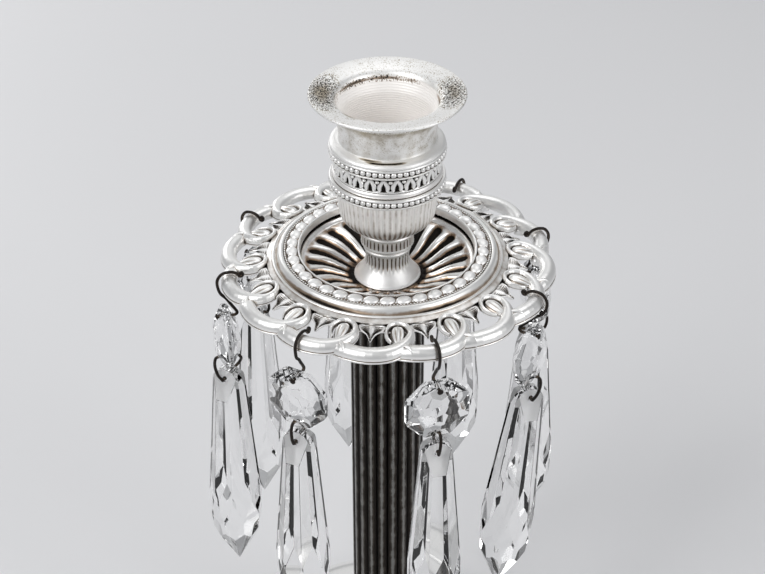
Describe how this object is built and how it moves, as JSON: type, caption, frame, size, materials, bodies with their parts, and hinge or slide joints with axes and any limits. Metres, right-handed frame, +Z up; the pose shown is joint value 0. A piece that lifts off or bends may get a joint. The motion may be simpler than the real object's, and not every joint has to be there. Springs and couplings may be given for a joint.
{
  "type": "crystal candlestick",
  "caption": "Silver-plated candlestick with a vase-shaped candle cup, a fluted drip pan with a pierced scroll border hung with crystal drops, a reeded column and a domed foot.",
  "frame": {"origin": "centre of the underside of the felt pad, where the foot stands on the table", "axes": "+Z up the column to the candle socket, -Y to the front of the picture, +X to its right"},
  "size_m": [0.0933, 0.0914, 0.192],
  "materials": {
    "silver_plate": "silver-plated, polished on high places, dark tarnish in the recesses",
    "dark_wire": "tarnished wire",
    "crystal": "clear cut crystal, polished facets",
    "steel": "plain turned steel",
    "felt": "pressed green felt"
  },
  "bodies": {
    "stand": {"felt_pad": "felt", "base_plate": "steel", "foot_ring": "silver_plate", "base_dome": "silver_plate", "socket_collar": "silver_plate", "column": "silver_plate", "capital": "silver_plate", "clamp_washer": "steel", "base_nut": "steel", "cup_nut": "steel", "tie_rod": "steel", "drip_pan": "silver_plate", "rim_moulding": "silver_plate", "gadroon_ring": "silver_plate", "scroll_border": "silver_plate", "cup_foot": "silver_plate", "ribbed_collar": "silver_plate", "cup_bowl": "silver_plate", "lower_bead_ring": "silver_plate", "upper_bead_ring": "silver_plate", "frieze_band": "silver_plate", "candle_tube": "silver_plate", "socket_lip": "silver_plate"},
    "hook_a_body": {"hook_a": "dark_wire"},
    "octagon_a_body": {"octagon_a": "crystal", "link_a": "dark_wire"},
    "prism_a_body": {"prism_a": "crystal"},
    "hook_b_body": {"hook_b": "dark_wire"},
    "octagon_b_body": {"octagon_b": "crystal", "link_b": "dark_wire"},
    "prism_b_body": {"prism_b": "crystal"},
    "hook_c_body": {"hook_c": "dark_wire"},
    "octagon_c_body": {"octagon_c": "crystal", "link_c": "dark_wire"},
    "prism_c_body": {"prism_c": "crystal"},
    "hook_d_body": {"hook_d": "dark_wire"},
    "octagon_d_body": {"octagon_d": "crystal", "link_d": "dark_wire"},
    "prism_d_body": {"prism_d": "crystal"},
    "hook_e_body": {"hook_e": "dark_wire"},
    "octagon_e_body": {"octagon_e": "crystal", "link_e": "dark_wire"},
    "prism_e_body": {"prism_e": "crystal"},
    "hook_f_body": {"hook_f": "dark_wire"},
    "octagon_f_body": {"octagon_f": "crystal", "link_f": "dark_wire"},
    "prism_f_body": {"prism_f": "crystal"},
    "hook_g_body": {"hook_g": "dark_wire"},
    "octagon_g_body": {"octagon_g": "crystal", "link_g": "dark_wire"},
    "prism_g_body": {"prism_g": "crystal"},
    "hook_h_body": {"hook_h": "dark_wire"},
    "octagon_h_body": {"octagon_h": "crystal", "link_h": "dark_wire"},
    "prism_h_body": {"prism_h": "crystal"}
  },
  "joints": [
    {"name": "hook_a_swing", "type": "hinge", "parent": "stand", "child": "hook_a_body", "pos_m": [-0.02022, -0.03488, 0.14409], "axis": [0.8709, -0.4914, 0], "range_deg": [-25, 10]},
    {"name": "octagon_a_sway", "type": "hinge", "parent": "hook_a_body", "child": "octagon_a_body", "pos_m": [-0.02156, -0.03482, 0.13379], "axis": [-0.4914, -0.8709, 0], "range_deg": [-8, 8]},
    {"name": "prism_a_sway", "type": "hinge", "parent": "octagon_a_body", "child": "prism_a_body", "pos_m": [-0.02156, -0.03482, 0.11549], "axis": [-0.3977, -0.9175, 0], "range_deg": [-12, 12]},
    {"name": "hook_b_swing", "type": "hinge", "parent": "stand", "child": "hook_b_body", "pos_m": [0.01138, -0.03866, 0.1441], "axis": [0.9538, 0.3005, 0], "range_deg": [-25, 10]},
    {"name": "octagon_b_sway", "type": "hinge", "parent": "hook_b_body", "child": "octagon_b_body", "pos_m": [0.01188, -0.03893, 0.1338], "axis": [0.3005, -0.9538, 0], "range_deg": [-8, 8]},
    {"name": "prism_b_sway", "type": "hinge", "parent": "octagon_b_body", "child": "prism_b_body", "pos_m": [0.01188, -0.03893, 0.1155], "axis": [0.1648, -0.9863, 0], "range_deg": [-12, 12]},
    {"name": "hook_c_swing", "type": "hinge", "parent": "stand", "child": "hook_c_body", "pos_m": [0.03618, -0.01772, 0.14412], "axis": [0.4327, 0.9015, 0], "range_deg": [-25, 10]},
    {"name": "octagon_c_sway", "type": "hinge", "parent": "hook_c_body", "child": "octagon_c_body", "pos_m": [0.03546, -0.01738, 0.13382], "axis": [0.9015, -0.4327, 0], "range_deg": [-8, 8]},
    {"name": "prism_c_sway", "type": "hinge", "parent": "octagon_c_body", "child": "prism_c_body", "pos_m": [0.03546, -0.01738, 0.11552], "axis": [0.3315, -0.9435, 0], "range_deg": [-4, 12]},
    {"name": "hook_d_swing", "type": "hinge", "parent": "stand", "child": "hook_d_body", "pos_m": [0.03866, 0.01138, 0.1441], "axis": [-0.3005, 0.9538, 0], "range_deg": [-25, 10]},
    {"name": "octagon_d_sway", "type": "hinge", "parent": "hook_d_body", "child": "octagon_d_body", "pos_m": [0.03866, 0.01138, 0.1338], "axis": [0.9538, 0.3005, 0], "range_deg": [-8, 8]},
    {"name": "prism_d_sway", "type": "hinge", "parent": "octagon_d_body", "child": "prism_d_body", "pos_m": [0.03866, 0.01138, 0.1155], "axis": [0.9991, 0.0434, 0], "range_deg": [-12, 12]},
    {"name": "hook_e_swing", "type": "hinge", "parent": "stand", "child": "hook_e_body", "pos_m": [0.01929, 0.03539, 0.1441], "axis": [-0.8869, 0.462, 0], "range_deg": [-25, 10]},
    {"name": "octagon_e_sway", "type": "hinge", "parent": "hook_e_body", "child": "octagon_e_body", "pos_m": [0.01929, 0.03539, 0.1338], "axis": [0.462, 0.8869, 0], "range_deg": [-8, 8]},
    {"name": "prism_e_sway", "type": "hinge", "parent": "octagon_e_body", "child": "prism_e_body", "pos_m": [0.01929, 0.03539, 0.1155], "axis": [0.3009, 0.9536, 0], "range_deg": [-12, 12]},
    {"name": "hook_f_swing", "type": "hinge", "parent": "stand", "child": "hook_f_body", "pos_m": [-0.01138, 0.03866, 0.1441], "axis": [-0.9538, -0.3005, 0], "range_deg": [-25, 10]},
    {"name": "octagon_f_sway", "type": "hinge", "parent": "hook_f_body", "child": "octagon_f_body", "pos_m": [-0.01138, 0.03866, 0.1338], "axis": [-0.3005, 0.9538, 0], "range_deg": [-8, 8]},
    {"name": "prism_f_sway", "type": "hinge", "parent": "octagon_f_body", "child": "prism_f_body", "pos_m": [-0.01138, 0.03866, 0.1155], "axis": [-0.2162, 0.9763, 0], "range_deg": [-12, 12]},
    {"name": "hook_g_swing", "type": "hinge", "parent": "stand", "child": "hook_g_body", "pos_m": [-0.03539, 0.01929, 0.1441], "axis": [-0.462, -0.8869, 0], "range_deg": [-25, 10]},
    {"name": "octagon_g_sway", "type": "hinge", "parent": "hook_g_body", "child": "octagon_g_body", "pos_m": [-0.03539, 0.01929, 0.1338], "axis": [-0.8869, 0.462, 0], "range_deg": [-8, 8]},
    {"name": "prism_g_sway", "type": "hinge", "parent": "octagon_g_body", "child": "prism_g_body", "pos_m": [-0.03539, 0.01929, 0.1155], "axis": [-0.9914, 0.1308, 0], "range_deg": [-12, 12]},
    {"name": "hook_h_swing", "type": "hinge", "parent": "stand", "child": "hook_h_body", "pos_m": [-0.0393, -0.009, 0.14408], "axis": [0.2122, -0.9772, 0], "range_deg": [-25, 10]},
    {"name": "octagon_h_sway", "type": "hinge", "parent": "hook_h_body", "child": "octagon_h_body", "pos_m": [-0.04067, -0.0093, 0.13378], "axis": [-0.9772, -0.2122, 0], "range_deg": [-8, 8]},
    {"name": "prism_h_sway", "type": "hinge", "parent": "octagon_h_body", "child": "prism_h_body", "pos_m": [-0.04067, -0.0093, 0.11549], "axis": [-0.4345, -0.9007, 0], "range_deg": [-7, 7]}
  ]
}
